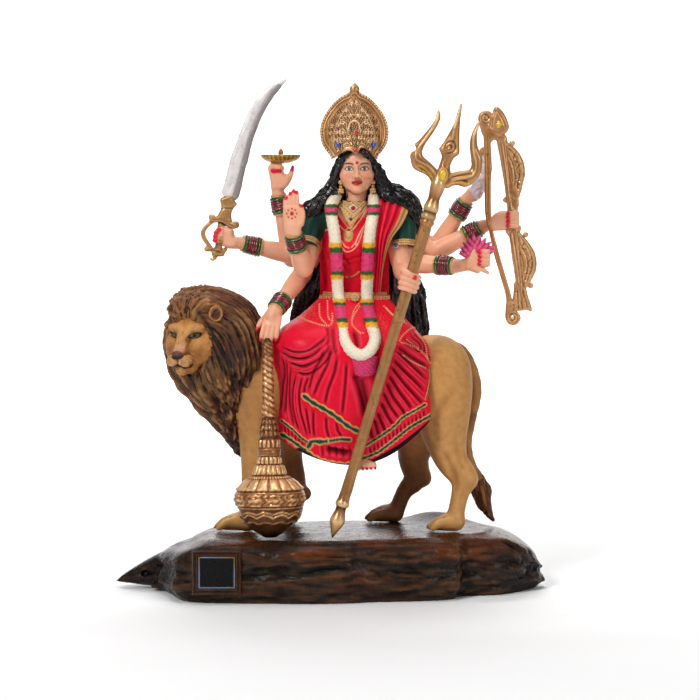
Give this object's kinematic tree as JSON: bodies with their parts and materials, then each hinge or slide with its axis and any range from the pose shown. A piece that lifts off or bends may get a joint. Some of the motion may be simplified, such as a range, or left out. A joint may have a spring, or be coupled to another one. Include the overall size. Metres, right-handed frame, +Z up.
{
  "type": "durga figure",
  "caption": "Painted figure of a many-armed goddess in a red sari, seated sideways on a standing lion on a rock base, holding a sword, trident, mace, bow, conch and lotus.",
  "frame": {"origin": "on the flat underside of the base, below the goddess", "axes": "+Z up; -Y to the viewer, the way the goddess faces; +X towards the lion's tail"},
  "size_m": [0.254, 0.1106, 0.2996],
  "materials": {
    "rock": "dark brown painted resin with rust-brown dry brushing, satin",
    "plaque": "bare black plate with a thin pale edge line, gloss",
    "lion_fur": "ochre painted resin, airbrushed darker, satin",
    "mane": "dark brown painted resin, dry brushed with tan, satin",
    "skin": "peach painted resin, satin",
    "sari": "crimson painted resin, semi-gloss",
    "blouse": "dark green painted resin, semi-gloss",
    "hair": "black painted resin, gloss",
    "gold": "antique gold paint over resin, semi-gloss",
    "bronze": "bronze paint over resin, semi-gloss",
    "blade": "silver paint, brushed",
    "garland": "cream, pink, yellow and green painted resin, satin",
    "lotus": "bright pink painted resin, satin",
    "conch": "pale lilac painted resin, gloss",
    "bangles": "maroon, green and gold painted resin, gloss"
  },
  "bodies": {
    "root": {"base": "rock", "plaque": "plaque", "lion": "lion_fur", "goddess": "sari", "sword": "blade", "lotus_dish": "gold", "mace": "gold", "trident": "bronze", "conch": "conch", "bow": "bronze", "lotus": "lotus"}
  },
  "joints": []
}
